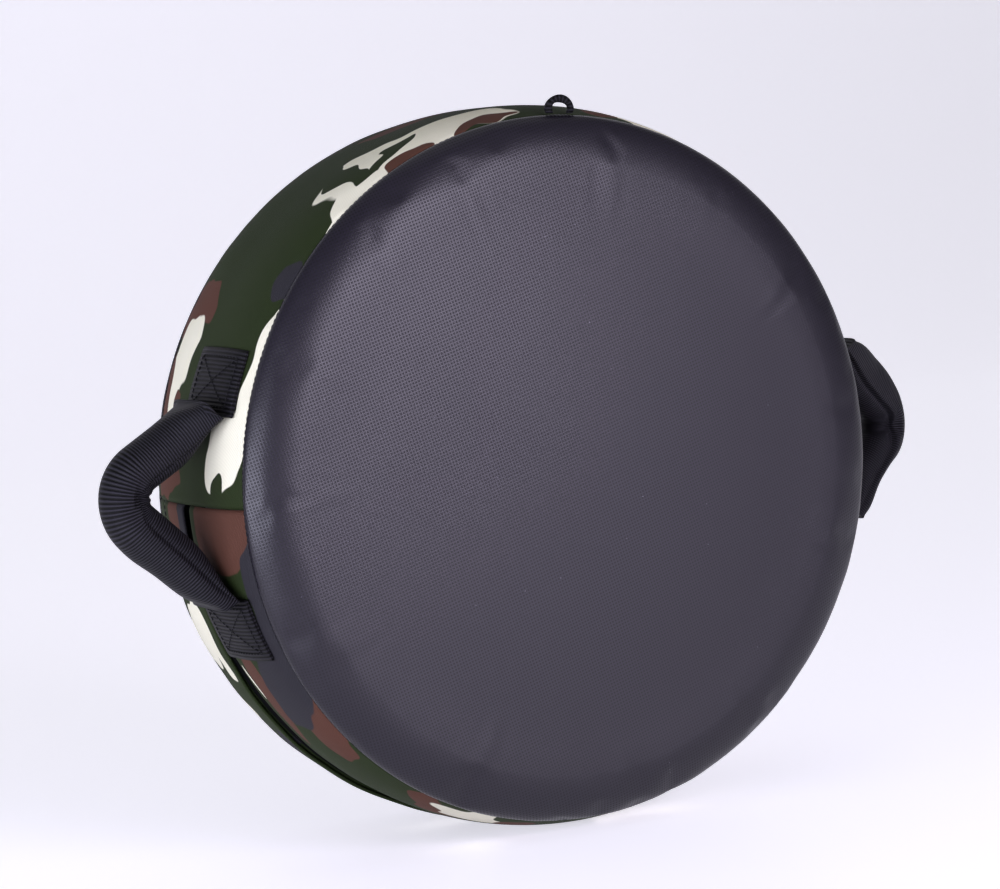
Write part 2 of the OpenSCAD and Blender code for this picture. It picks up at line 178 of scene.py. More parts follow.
# PVC-coated cloth, embossed with a small square weave: satin ridges round dull hollows, which are painted
# darker as painted shade
vinyl = {
    # painted shade: the hollows of the emboss take a darker colour than the ridges, standing for the shade
    # that falls in them
    "pitShade": "#040405",
    "tops": "#1f1c25",
    "pitch": 1.85,
    "turn": 15.8,
    "depth": 0.07 * mm,
    "bump": 0.6,
    "shine": 0.36,
    "topRough": 0.31,
    "pitRough": 0.62,
    "cloud": 90,
    "handling": 0.04,  # how far the roughness wanders
    "dust": {"colour": "#6f6d77", "apart": 9, "size": 0.24, "patch": 80, "share": 0.5},
}


def makeVinyl():
    material, tree, shader = newMaterial("embossedVinyl", vinyl["topRough"], vinyl["shine"])
    cut = addNode(tree, "ShaderNodeUVMap", uv_map="cut").outputs["UV"]
    turned = addNode(tree, "ShaderNodeMapping", {"Vector": cut})
    turned.inputs["Rotation"].default_value[2] = math.radians(-vinyl["turn"])
    rows = [
        addNode(
            tree,
            "ShaderNodeTexWave",
            {"Vector": turned.outputs["Vector"], "Scale": waveScale(vinyl["pitch"])},
            bands_direction=direction,
        ).outputs["Fac"]
        for direction in ("X", "Y")
    ]
    weave = addNode(tree, "ShaderNodeMath", {0: rows[0], 1: rows[1]}, operation="MAXIMUM").outputs[0]
    # painted shade: the weave mixes the darker colour into the hollows and the ridge colour onto the tops
    tone = addNode(
        tree,
        "ShaderNodeMix",
        {0: weave, 6: linear(vinyl["pitShade"]), 7: linear(vinyl["tops"])},
        data_type="RGBA",
    )
    dust = vinyl["dust"]
    specks = addNode(tree, "ShaderNodeTexVoronoi", {"Vector": cut, "Scale": lumpScale(dust["apart"])})
    small = addNode(
        tree,
        "ShaderNodeMath",
        {0: specks.outputs["Distance"], 1: dust["size"] / dust["apart"]},
        operation="LESS_THAN",
    )
    patches = addNode(
        tree, "ShaderNodeTexNoise", {"Vector": cut, "Scale": lumpScale(dust["patch"]), "Detail": 0}
    )
    dusty = addNode(
        tree, "ShaderNodeMath", {0: patches.outputs["Fac"], 1: dust["share"]}, operation="GREATER_THAN"
    )
    settled = addNode(
        tree, "ShaderNodeMath", {0: small.outputs[0], 1: dusty.outputs[0]}, operation="MULTIPLY"
    )
    dusted = addNode(
        tree,
        "ShaderNodeMix",
        {0: settled.outputs[0], 6: tone.outputs[2], 7: linear(dust["colour"])},
        data_type="RGBA",
    )
    tree.links.new(dusted.outputs[2], shader.inputs["Base Color"])
    cloud = addNode(
        tree, "ShaderNodeTexNoise", {"Vector": cut, "Scale": lumpScale(vinyl["cloud"]), "Detail": 3}
    )
    handled = addNode(
        tree,
        "ShaderNodeMapRange",
        {"Value": cloud.outputs["Fac"], "To Min": -vinyl["handling"], "To Max": vinyl["handling"]},
    )
    rough = addNode(
        tree,
        "ShaderNodeMapRange",
        {"Value": weave, "To Min": vinyl["pitRough"], "To Max": vinyl["topRough"]},
    )
    worn = addNode(tree, "ShaderNodeMath", {0: rough.outputs["Result"], 1: handled.outputs["Result"]})
    tree.links.new(worn.outputs[0], shader.inputs["Roughness"])
    bump = addNode(
        tree, "ShaderNodeBump", {"Height": weave, "Distance": vinyl["depth"], "Strength": vinyl["bump"]}
    )
    tree.links.new(bump.outputs["Normal"], shader.inputs["Normal"])
    return material


# printed polyester twill: matt, with fine slanting ridges painted lighter than the furrows between them as
# painted light and shade, and hard-edged blotches of dye
camo = {
    "dyes": {"green": "#1f2a0e", "cream": "#e9e7cd", "brown": "#523428", "charcoal": "#28272b"},
    "ground": "green",
    "repeat": 180,  # degrees of the pad that one repeat of the print covers
    "allowance": 40 * mm,  # print lost between the upper and the lower lengths of cloth
    "waver": ({"size": (64, 36), "reach": 13 * mm}, {"size": (22, 12), "reach": 7 * mm}),
    "bleed": 0.02,  # share of a blotch over which its edge is soft
    "twill": {"pitch": 1.1, "slant": 63, "depth": 0.16 * mm, "bump": 0.6, "light": 0.22},
    "fade": {"size": 60, "least": 0.75, "range": 0.3},
    "rough": 0.8,
    "shine": 0.2,
}
# each blotch: dye, degrees round the pad, mm across it, half length, half width, lean
blotches = (
    ("cream", 111, -42, 66, 20, 2),
    ("brown", 99, -53, 23, 5, -22),
    ("brown", 114, -57, 17, 6, 0),
    ("green", 117, -41, 28, 6, -22),
    ("green", 123, -34, 9, 15, 12),
    ("cream", 139, -57, 40, 5, 0),
    ("cream", 126, -55, 26, 9, -4),
    ("charcoal", 144, -49, 14, 9, -12),
    ("brown", 105, 8, 30, 9, 6),
    ("brown", 149, 36, 17, 28, 10),
    ("cream", 159, 30, 28, 16, 14),
    ("brown", 165, 20, 10, 4, 0),
    ("brown", 163, 52, 24, 15, 0),
    ("cream", 158, -60, 42, 9, 0),
    ("cream", 172, -49, 24, 19, 6),
    ("green", 179, -45, 14, 8, 0),
    ("brown", 176, 32, 15, 27, 0),
    ("cream", 125, 52, 30, 9, -5),
    ("brown", 183, -38, 26, 34, 0),
    ("charcoal", 196, -62, 44, 9, 0),
    ("brown", 219, -52, 34, 11, 12),
    ("brown", 213, -22, 36, 11, 6),
    ("charcoal", 209, -46, 34, 14, 14),
    ("cream", 210, -9, 9, 2, 0),
    ("brown", 243, -49, 16, 13, 15),
    ("cream", 250, -54, 28, 11, 5),
    ("brown", 258, -50, 14, 12, 0),
    ("charcoal", 262, -22, 24, 9, 0),
    ("charcoal", 184, 12, 24, 8, 0),
    ("brown", 183, 28, 20, 9, 0),
    ("cream", 204, 20, 23, 9, -8),
    ("cream", 202, 38, 16, 20, 0),
    ("cream", 218, 46, 14, 9, 0),
    ("charcoal", 226, 16, 14, 8, 12),
    ("brown", 238, 34, 26, 12, -8),
    ("cream", 254, 24, 28, 12, 8),
)


# where a point of the pad's side lies along the printed roll
def alongRoll(angle):
    turned = (math.degrees(angle) - 90) % camo["repeat"]
    lost = camo["allowance"] if turned > 90 else 0
    return math.radians(turned) * pad["radius"] + lost


def makeCamo():
    material, tree, shader = newMaterial("printedTwill", camo["rough"], camo["shine"])
    cut = addNode(tree, "ShaderNodeUVMap", uv_map="cut").outputs["UV"]
    wavered = cut
    for waver in camo["waver"]:
        sized = addNode(tree, "ShaderNodeMapping", {"Vector": cut})
        sized.inputs["Scale"].default_value = [lumpScale(size) for size in waver["size"]] + [1]
        drift = addNode(
            tree, "ShaderNodeTexNoise", {"Vector": sized.outputs["Vector"], "Scale": 1, "Detail": 0}
        )
        centred = addNode(
            tree,
            "ShaderNodeVectorMath",
            {0: drift.outputs["Color"], 1: (0.5, 0.5, 0.5)},
            operation="SUBTRACT",
        )
        moved = addNode(
            tree,
            "ShaderNodeVectorMath",
            {0: centred.outputs["Vector"], 1: [2 * waver["reach"]] * 3, 2: wavered},
            operation="MULTIPLY_ADD",
        )
        wavered = moved.outputs["Vector"]
    colour = linear(camo["dyes"][camo["ground"]])
    outer, inner = 1 + camo["bleed"], 1 - camo["bleed"]
    for dye, angle, across, halfLong, halfWide, lean in blotches:
        laid = addNode(tree, "ShaderNodeMapping", {"Vector": wavered}, vector_type="TEXTURE")
        laid.inputs["Location"].default_value = (alongRoll(math.radians(angle)), across * mm, 0)
        laid.inputs["Rotation"].default_value[2] = math.radians(lean)
        laid.inputs["Scale"].default_value = (halfLong * mm, halfWide * mm, 1)
        flat = addNode(
            tree, "ShaderNodeVectorMath", {0: laid.outputs["Vector"], 1: (1, 1, 0)}, operation="MULTIPLY"
        )
        away = addNode(tree, "ShaderNodeVectorMath", {0: flat.outputs["Vector"]}, operation="LENGTH")
        dyed = addNode(
            tree,
            "ShaderNodeMapRange",
            {"Value": away.outputs["Value"], "From Min": outer, "From Max": inner},
        )
        mixed = addNode(
            tree,
            "ShaderNodeMix",
            {0: dyed.outputs["Result"], 6: colour, 7: linear(camo["dyes"][dye])},
            data_type="RGBA",
        )
        colour = mixed.outputs[2]
    twill = camo["twill"]
    turned = addNode(tree, "ShaderNodeMapping", {"Vector": cut})
    turned.inputs["Rotation"].default_value[2] = math.radians(twill["slant"])
    ridges = addNode(
        tree,
        "ShaderNodeTexWave",
        {"Vector": turned.outputs["Vector"], "Scale": waveScale(twill["pitch"])},
    ).outputs["Fac"]
    fade = camo["fade"]
    faded = addNode(
        tree, "ShaderNodeTexNoise", {"Vector": cut, "Scale": lumpScale(fade["size"]), "Detail": 4}
    )
    light = addNode(
        tree,
        "ShaderNodeMath",
        {0: faded.outputs["Fac"], 1: fade["range"], 2: fade["least"]},
        operation="MULTIPLY_ADD",
    )
    # painted light and shade: the twill's ridges are painted lighter than its furrows, on top of the dye's
    # random mottle
    shade = addNode(
        tree,
        "ShaderNodeMath",
        {0: ridges, 1: twill["light"], 2: light.outputs[0]},
        operation="MULTIPLY_ADD",
    )
    shaded = addNode(
        tree,
        "ShaderNodeMix",
        {0: 1, 6: colour, 7: shade.outputs[0]},
        data_type="RGBA",
        blend_type="MULTIPLY",
    )
    tree.links.new(shaded.outputs[2], shader.inputs["Base Color"])
    bump = addNode(
        tree, "ShaderNodeBump", {"Height": ridges, "Distance": twill["depth"], "Strength": twill["bump"]}
    )
    tree.links.new(bump.outputs["Normal"], shader.inputs["Normal"])
    return material


# black polypropylene webbing: matt ribs across its length, painted a little lighter on their tops and near
# black between them, as painted highlight and shade
webbing = {
    # painted shade and highlight: the colour between the ribs stands for shade, and the lighter colour on
    # the ribs for their highlight, a little lighter still on the sleeving
    "shadedGrooves": "#010101",
    "litBacks": {"ribbedWebbing": "#1e1d22", "ribbedSleeving": "#28272d"},
    "pitch": {"ribbedWebbing": 2.35, "ribbedSleeving": 1.65},
    "ribDepth": 0.6 * mm,
    "bump": 0.7,
    "yarn": 0.6,
    "yarnHeight": 0.25,  # as a share of a rib's
    "light": (0.3, 1.05),  # heights between which a rib grows lighter
    "rough": 0.55,
    "shine": 0.12,
}


def makeWebbing(name):
    material, tree, shader = newMaterial(name, webbing["rough"], webbing["shine"])
    pitch = webbing["pitch"][name]
    cut = addNode(tree, "ShaderNodeUVMap", uv_map="cut").outputs["UV"]
    ribs = addNode(tree, "ShaderNodeTexWave", {"Vector": cut, "Scale": waveScale(pitch)}).outputs["Fac"]
    yarn = addNode(
        tree, "ShaderNodeTexNoise", {"Vector": cut, "Scale": lumpScale(webbing["yarn"]), "Detail": 1}
    )
    height = addNode(
        tree,
        "ShaderNodeMath",
        {0: yarn.outputs["Fac"], 1: webbing["yarnHeight"], 2: ribs},
        operation="MULTIPLY_ADD",
    ).outputs[0]
    dark, light = webbing["light"]
    lit = addNode(
        tree,
        "ShaderNodeMapRange",
        {"Value": height, "From Min": dark, "From Max": light},
        interpolation_type="SMOOTHSTEP",
    )
    # painted highlight and shade: the rib tops are mixed lighter and the furrows near black
    tone = addNode(
        tree,
        "ShaderNodeMix",
        {0: lit.outputs["Result"], 6: linear(webbing["shadedGrooves"]), 7: linear(webbing["litBacks"][name])},
        data_type="RGBA",
    )
    tree.links.new(tone.outputs[2], shader.inputs["Base Color"])
    bump = addNode(
        tree,
        "ShaderNodeBump",
        {"Height": height, "Distance": webbing["ribDepth"], "Strength": webbing["bump"]},
    )
    tree.links.new(bump.outputs["Normal"], shader.inputs["Normal"])
    return material


# plain woven tape, polyester thread, moulded acetal, black-painted zinc and polyethylene foam:
# a faint grain, matt on the cloth and the foam, satin on the teeth and the slider
plain = {
    "wovenTape": {"dark": "#060607", "light": "#121214", "rough": 0.8, "shine": 0.1, "grain": 0.7},
    "blackThread": {"dark": "#030304", "light": "#101012", "rough": 0.6, "shine": 0.15, "grain": 0.6},
    "mouldedTeeth": {"dark": "#0e0e10", "light": "#171719", "rough": 0.4, "shine": 0.5, "grain": 3},
    "paintedZinc": {"dark": "#131315", "light": "#202024", "rough": 0.3, "shine": 0.5, "grain": 5},
    "paddingFoam": {"dark": "#6d7176", "light": "#8f9398", "rough": 0.95, "shine": 0.2, "grain": 1.5},
}
grainDepth = 0.1 * mm
grainBump = 0.4


def makePlain(name):
    look = plain[name]
    material, tree, shader = newMaterial(name, look["rough"], look["shine"])
    place = addNode(tree, "ShaderNodeTexCoord").outputs["Object"]
    grain = addNode(
        tree, "ShaderNodeTexNoise", {"Vector": place, "Scale": lumpScale(look["grain"]), "Detail": 2}
    ).outputs["Fac"]
    tone = addNode(
        tree,
        "ShaderNodeMix",
        {0: grain, 6: linear(look["dark"]), 7: linear(look["light"])},
        data_type="RGBA",
    )
    tree.links.new(tone.outputs[2], shader.inputs["Base Color"])
    bump = addNode(tree, "ShaderNodeBump", {"Height": grain, "Distance": grainDepth, "Strength": grainBump})
    tree.links.new(bump.outputs["Normal"], shader.inputs["Normal"])
    return material


vinylMaterial = makeVinyl()
camoMaterial = makeCamo()
webbingMaterial = makeWebbing("ribbedWebbing")
sleevingMaterial = makeWebbing("ribbedSleeving")
plainMaterials = {name: makePlain(name) for name in plain}
print("materials made")


# tools that several pieces use
weldGap = 0.01 * mm
capShift = 0.3 * mm  # a cut end takes its tone from this far past the edge


def addPiece(bm, name, material, body=None, replaced=()):
    bmesh.ops.recalc_face_normals(bm, faces=bm.faces[:])
    mesh = bpy.data.meshes.new(name)
    bm.to_mesh(mesh)
    bm.free()
    mesh.shade_smooth()
    mesh.materials.append(material)
    piece = bpy.data.objects.new(name, mesh)
    scene.collection.objects.link(piece)
    if replaced:
        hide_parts(*replaced)
    if body:
        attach(piece, body)
    return piece


def addThickness(piece, thickness):
    solid = piece.modifiers.new("thickness", "SOLIDIFY")
    solid.thickness = thickness
    solid.offset = -1


def addSubdivision(piece, levels):
    smooth = piece.modifiers.new("smooth", "SUBSURF")
    smooth.levels = levels
    smooth.render_levels = levels


# turns a line of (radius, across) points round the pad, and keeps each point's run along the line
def spinProfile(profile, start, turn, steps):
    bm = bmesh.new()
    run = bm.verts.layers.float.new("run")
    length = 0
    last = None
    for radius, across in profile:
        vert = bm.verts.new(padPoint(start, radius, across))
        if last:
            length += (vert.co - last.co).length
            bm.edges.new((last, vert))
        vert[run] = length
        last = vert
    bmesh.ops.spin(
        bm,
        geom=bm.verts[:] + bm.edges[:],
        cent=pad["centre"],
        axis=(0, -1, 0),
        angle=turn,
        steps=steps,
        use_merge=turn == fullTurn,
    )
    bmesh.ops.remove_doubles(bm, verts=bm.verts[:], dist=weldGap)
    return bm


# lofts rings of points one after another by extruding the first one along, and closes both ends
def loftRings(rings):
    bm = bmesh.new()
    count = len(rings[0])
    place = bm.verts.layers.int.new("place")
    run = bm.verts.layers.float.new("run")
    first = bmesh.ops.create_circle(bm, segments=count, radius=1)["verts"]
    for i, vert in enumerate(first):
        vert[place] = i
        vert.co = rings[0][i]
    edges = bm.edges[:]
    ends = [edges]
    length = 0
    for earlier, ring in zip(rings, rings[1:]):
        length += sum((a - b).length for a, b in zip(earlier, ring)) / count
        made = bmesh.ops.extrude_edge_only(bm, edges=edges)["geom"]
        fresh = {item for item in made if isinstance(item, bmesh.types.BMVert)}
        for vert in fresh:
            vert.co = ring[vert[place]]
            vert[run] = length
        edges = [
            item for item in made if isinstance(item, bmesh.types.BMEdge) and set(item.verts) <= fresh
        ]
    ends.append(edges)
    middleRing = rings[len(rings) // 2]
    around = sum((a - b).length for a, b in zip(middleRing, middleRing[1:]))
    uv = bm.loops.layers.uv.new("cut")
    for polygon in bm.faces:
        places = [corner.vert[place] for corner in polygon.loops]
        wraps = max(places) - min(places) > 1
        for corner, at in zip(polygon.loops, places):
            if wraps and at == 0:
                at = count
            corner[uv].uv = (corner.vert[run], at / count * around)
    for end in ends:
        for cap in bmesh.ops.edgeloop_fill(bm, edges=end)["faces"]:
            for corner in cap.loops:
                corner[uv].uv = (corner.vert[run] + capShift, corner.vert[place] / count * around)
    return bm


# thread: each stitch is a short spline that dips into the cloth at both ends
thread = {
    "thick": 0.8 * mm,
    "sides": 1,
    # share of the stitch's length, rise in thicknesses and share of the thickness
    "points": ((-0.5, -0.45, 0.6), (-0.3, 0.15, 1), (0.3, 0.15, 1), (0.5, -0.45, 0.6)),
}


def newThread(name):
    curve = bpy.data.curves.new(name, "CURVE")
    curve.dimensions = "3D"
    curve.bevel_depth = thread["thick"] / 2
    curve.bevel_resolution = thread["sides"]
    curve.use_fill_caps = True
    return curve


def addStitch(curve, place, along, up, length):
    along = along.normalized() * length
    up = up.normalized() * thread["thick"]
    spline = curve.splines.new("POLY")
    spline.points.add(len(thread["points"]) - 1)
    for point, (share, rise, radius) in zip(spline.points, thread["points"]):
        point.co = (*(place + along * share + up * rise), 1)
        point.radius = radius


def addThread(curve, body):
    drawn = bpy.data.objects.new(curve.name, curve)
    mesh = bpy.data.meshes.new_from_object(drawn)
    bpy.data.objects.remove(drawn)
    mesh.materials.clear()
    mesh.materials.append(plainMaterials["blackThread"])
    mesh.shade_smooth()
    piece = bpy.data.objects.new(curve.name, mesh)
    scene.collection.objects.link(piece)
    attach(piece, body)


# face panels: vinyl over the foam's rounded edge, with the slack drawn into puckers at the seam
face = {
    "shoulderRise": 13 * mm,
    "shoulderRun": 28 * mm,
    "crown": {"front": 3 * mm, "rear": 0},
    "seamLift": 0.4 * mm,
    "tuck": 0.6 * mm,
    "tuckFall": 0.1 * mm,
    "lip": 5 * mm,
    "sheet": 1.2 * mm,
    "steps": 320,
    "flatRings": 14,
    "shoulderRings": 18,
    "heldTo": 0.55,  # share of the flat middle up to which the foam holds the sheet
    "heldFade": 0.55,
    "heldRise": 1.2 * mm,  # the sheet is also held this near to the seam
    "slack": 0.0008,
    "pressure": 4,
    "frames": 20,
    "mostMove": 1.5 * mm,
    "gather": {"depth": 0.42 * mm, "every": 19 * mm, "tall": 70 * mm, "seed": 3},
    "gatherFrom": 0.93,  # share of the flat middle at which the gathers start
    "gatherFade": 0.12,
    "gatherAll": 0.6,
    "gatherLow": 0.4,  # more slack at the bottom than at the top
    "gatherRise": 1.5 * mm,
}


def holdFace(piece, sign, flat):
    held = piece.vertex_groups.new(name="held")
    for vert in piece.data.vertices:
        radius = (vert.co - pad["centre"]).xz.length
        rise = sign * vert.co.y - pad["edge"]
        inner = 1 - ease((radius / flat - face["heldTo"]) / face["heldFade"])
        weight = 1 if rise < face["heldRise"] else inner
        if weight > 0:
            held.add([vert.index], weight, "REPLACE")


# lets the held sheet swell under pressure, then scales it so that no point goes too far
def swell(piece):
    before = [vert.co.copy() for vert in piece.data.vertices]
    cloth = piece.modifiers.new("cloth", "CLOTH")
    cloth.settings.quality = 6
    cloth.settings.mass = 0.3
    cloth.settings.tension_stiffness = 20
    cloth.settings.compression_stiffness = 20
    cloth.settings.shear_stiffness = 10
    cloth.settings.bending_stiffness = 1.5
    cloth.settings.vertex_group_mass = "held"
    cloth.settings.shrink_min = -face["slack"]
    cloth.settings.use_pressure = True
    cloth.settings.uniform_pressure_force = face["pressure"]
    cloth.settings.effector_weights.gravity = 0
    cloth.collision_settings.use_collision = False
    for step in range(1, face["frames"] + 1):
        scene.frame_set(step)
    swollen = piece.evaluated_get(bpy.context.evaluated_depsgraph_get()).data
    shifts = [moved.co - start for moved, start in zip(swollen.vertices, before)]
    scale = min(1, face["mostMove"] / max(shift.length for shift in shifts))
    for vert, start, shift in zip(piece.data.vertices, before, shifts):
        vert.co = start + shift * scale
    piece.modifiers.remove(cloth)
    scene.frame_set(1)


def makeFace(side, replaced):
    sign = -1 if side == "front" else 1
    flat = pad["seamRadius"] - face["shoulderRun"]
    radii = [flat * i / face["flatRings"] for i in range(face["flatRings"])]
    for i in range(face["shoulderRings"] + 1):
        radii.append(flat + face["shoulderRun"] * math.sin(math.pi / 2 * i / face["shoulderRings"]))
    profile = []
    for radius in radii:
        past = max(0, radius - flat) / face["shoulderRun"]
        crown = face["crown"][side] * (1 - (radius / pad["seamRadius"]) ** 2)
        profile.append((radius, face["shoulderRise"] * math.sqrt(max(0, 1 - past * past)) + crown))
    for inward in (face["tuck"], face["lip"]):
        profile.append((pad["seamRadius"] - inward, -face["tuckFall"]))
    seamAt = pad["edge"] + face["seamLift"]
    bm = spinProfile(
        [(radius, sign * (seamAt + rise)) for radius, rise in profile], 0, fullTurn, face["steps"]
    )
    run = bm.verts.layers.float["run"]
    uv = bm.loops.layers.uv.new("cut")
    for polygon in bm.faces:
        for corner in polygon.loops:
            angle = angleOf(corner.vert.co)
            corner[uv].uv = (corner.vert[run] * math.cos(angle), corner.vert[run] * math.sin(angle))
    for vert in bm.verts:
        if sign * vert.co.y <= pad["edge"] + face["gatherRise"]:
            continue
        angle = angleOf(vert.co)
        radius = (vert.co - pad["centre"]).xz.length
        outward = Vector((math.cos(angle), sign, math.sin(angle)))
        loose = ease((radius / flat - face["gatherFrom"]) / face["gatherFade"])
        loose *= face["gatherAll"] - face["gatherLow"] * math.sin(angle)
        vert.co += outward * foldAt(face["gather"], angle, radius, sign) * face["gather"]["depth"] * loose
    piece = addPiece(bm, side + "Face", vinylMaterial, "pad", replaced)
    holdFace(piece, sign, flat)
    swell(piece)
    addThickness(piece, face["sheet"])


makeFace("front", ["front_panel"])
makeFace("rear", ["rear_panel"])
print("face panels made")

# side bands: printed cloth drawn in a little at each seam
band = {
    "cloth": 1.2 * mm,
    "lip": 5 * mm,
    "tuck": 0.7 * mm,
    "seamRun": 0.5 * mm,
    "hemRun": 0.8 * mm,
    "halfGap": 0.1 * mm,
    "steps": 260,
    "rows": {"upper": 44, "front": 26, "underFlap": 26, "rear": 8, "flap": 14},
    "grooveDepth": 5.4 * mm,
    "pucker": {"depth": 0.9 * mm, "every": 17 * mm, "tall": 40 * mm, "seed": 5},
    "puckerReach": 14 * mm,
    "puckerPull": 0.4,  # puckers sink more than they rise
    "bag": {"depth": 1.4 * mm, "every": 34 * mm, "tall": 90 * mm, "seed": 9},
    "bagFrom": -20 * mm,  # the cloth is slacker from here to the rear
    "bagFade": 50 * mm,
    "bagToSeam": 9 * mm,
    "crossSeam": 1.0 * mm,
    "crossReach": 2.5 * mm,
    "zipSink": 1.7 * mm,
    "zipSinkReach": 24 * mm,
    "flapLift": 1.2 * mm,
    "flapLiftReach": 26 * mm,
    "sagFrom": 0.25,  # radians below a cross seam where the sag starts
    "sagFade": 0.45,  # radians over which it grows
    "sagSkin": 3 * mm,  # what lies deeper stays in place
}
flap = {"thick": 2 * mm, "clear": 0.4 * mm, "stepRun": 0.6 * mm, "hemSteps": 8}
edge = pad["edge"]
zipFront = lowerFrontHigh.y
zipRear = flapLow.y
flapRoot = flapHigh.y
halfGap = band["halfGap"] / pad["radius"]


def wallLine(start, end, rows, depth=0):
    return [
        (wallRadius(across) - depth, across)
        for across in [start + (end - start) * i / rows for i in range(rows + 1)]
    ]


def puckerAt(angle, across):
    toSeam = edge - abs(across)
    pull = ease(1 - toSeam / band["puckerReach"])
    pucker = band["pucker"]["depth"] * pull * (foldAt(band["pucker"], angle, across) - band["puckerPull"])
    rearward = ease((across - band["bagFrom"]) / band["bagFade"]) * ease(toSeam / band["bagToSeam"])
    bag = band["bag"]["depth"] * foldAt(band["bag"], angle, across) * rearward
    toCross = min(abs(angle - end) for end in (-math.pi, 0, math.pi)) * pad["radius"]
    return pucker + bag - band["crossSeam"] * ease(1 - toCross / band["crossReach"])


# the cloth sinks towards the zip and the flap stands proud of it, more so low on the pad
def zipSag(angle, across, radius):
    if angle > 0 or radius < pad["radius"] - band["sagSkin"]:
        return 0
    low = ease((min(abs(angle), math.pi - abs(angle)) - band["sagFrom"]) / band["sagFade"])
    if across <= zipFront:
        return -band["zipSink"] * low * ease(1 - (zipFront - across) / band["zipSinkReach"])
    return band["flapLift"] * low * ease(1 - (across - zipRear) / band["flapLiftReach"])


def makeBand(name, profile, upper, replaced):
    start = 0 if upper else -math.pi
    bm = spinProfile(profile, start + halfGap, math.pi - 2 * halfGap, band["steps"])
    uv = bm.loops.layers.uv.new("cut")
    for polygon in bm.faces:
        middle = angleOf(polygon.calc_center_median())
        for corner in polygon.loops:
            along = alongRoll(middle) + (angleOf(corner.vert.co) - middle) * pad["radius"]
            corner[uv].uv = (along, corner.vert.co.y)
    for vert in bm.verts:
        angle = angleOf(vert.co)
        outward = Vector((math.cos(angle), 0, math.sin(angle)))
        radius = (vert.co - pad["centre"]).xz.length
        vert.co += outward * (puckerAt(angle, vert.co.y) + zipSag(angle, vert.co.y, radius))
        vert.co.z = max(vert.co.z, 0)  # the pad stands on a short flat
    piece = addPiece(bm, name, camoMaterial, "pad", replaced)
    addThickness(piece, band["cloth"])


lipRadius = pad["seamRadius"] - band["lip"]
tuckRadius = pad["seamRadius"] - band["tuck"]
frontHem = [(lipRadius, -edge), (tuckRadius, -edge)]
rearHem = [(tuckRadius, edge), (lipRadius, edge)]
nearSeam = edge - band["seamRun"]
makeBand(
    "upperBand",
    frontHem + wallLine(-nearSeam, nearSeam, band["rows"]["upper"]) + rearHem,
    True,
    ["upper_band"],
)
grooveFloor = pad["radius"] - band["grooveDepth"]
makeBand(
    "lowerFrontBand",
    frontHem
    + wallLine(-nearSeam, zipFront - band["hemRun"], band["rows"]["front"])
    + [(pad["radius"] - band["tuck"], zipFront), (grooveFloor, zipFront)],
    False,
    ["lower_front_band"],
)
underFlap = zipRear + flap["thick"]
stepAt = flapRoot + flap["stepRun"]
makeBand(
    "lowerRearBand",
    [(grooveFloor, underFlap)]
    + wallLine(underFlap, stepAt, band["rows"]["underFlap"], flap["thick"] + flap["clear"])
    + wallLine(stepAt + flap["clear"], nearSeam, band["rows"]["rear"])
    + rearHem,
    False,
    ["lower_rear_band"],
)
hemRadius = flap["thick"] / 2
hemAt = zipRear + hemRadius
flapHem = [
    (wallRadius(zipRear) - hemRadius * (1 + math.cos(turn)), zipRear + hemRadius * (1 - math.sin(turn)))
    for turn in [math.pi * i / flap["hemSteps"] for i in range(flap["hemSteps"] + 1)]
]
makeBand(
    "zipFlap",
    wallLine(flapRoot, hemAt, band["rows"]["flap"], flap["thick"])
    + flapHem
    + wallLine(hemAt, flapRoot, band["rows"]["flap"]),
    False,
    ["zip_flap"],
)
print("side bands made")

# seams: rows of black thread along both faces and along the root of the flap
seam = {
    "stitch": 2.6 * mm,
    "every": 3.7 * mm,
    "aside": 0.2 * mm,
    "sunk": 0.35 * mm,
    "flapInset": 2.5 * mm,
    "flapProud": 0.1 * mm,
    "flapEnd": 0.01,  # radians left free at each end of the flap
}


def stitchRound(curve, start, turn, radius, across):
    count = round(turn * radius / seam["every"])
    for i in range(count):
        angle = start + turn * (i + 0.5) / count
        along = Vector((-math.sin(angle), 0, math.cos(angle)))
        up = Vector((math.cos(angle), 0, math.sin(angle)))
        addStitch(curve, padPoint(angle, radius, across), along, up, seam["stitch"])


curve = newThread("seamThread")
for across in (-edge - seam["aside"], edge + seam["aside"]):
    stitchRound(curve, 0, fullTurn, pad["seamRadius"] - seam["sunk"], across)
stitchRound(
    curve,
    -math.pi + seam["flapEnd"],
    math.pi - 2 * seam["flapEnd"],
    wallRadius(flapRoot) + seam["flapProud"],
    flapRoot - seam["flapInset"],
)
addThread(curve, "pad")
print("seams stitched")

# foam sheets inside the cover
foam = {
    "inside": 10 * mm,
    "core": 50 * mm,
    "faceRise": 6 * mm,
    "shoulder": 9 * mm,  # the outer sheets step in this far where the faces round off
    "rows": 6,
    "steps": 96,
}


def foamReach(across):
    shouldered = abs(across) > edge - foam["shoulder"]
    outer = pad["seamRadius"] - foam["shoulder"] if shouldered else wallRadius(across)
    return outer - foam["inside"]


def makeFoam(name, low, high, replaced):
    side = [low + (high - low) * i / foam["rows"] for i in range(foam["rows"] + 1)]
    profile = [(0, low)] + [(foamReach(across), across) for across in side] + [(0, high)]
    bm = spinProfile(profile, 0, fullTurn, foam["steps"])
    addPiece(bm, name, plainMaterials["paddingFoam"], "pad", replaced)


halfCore = foam["core"] / 2
foamFace = edge + foam["faceRise"]
makeFoam("frontFoam", -foamFace, -halfCore, ["front_foam"])
makeFoam("coreFoam", -halfCore, halfCore, ["core_foam"])
makeFoam("rearFoam", halfCore, foamFace, ["rear_foam"])
print("foam made")

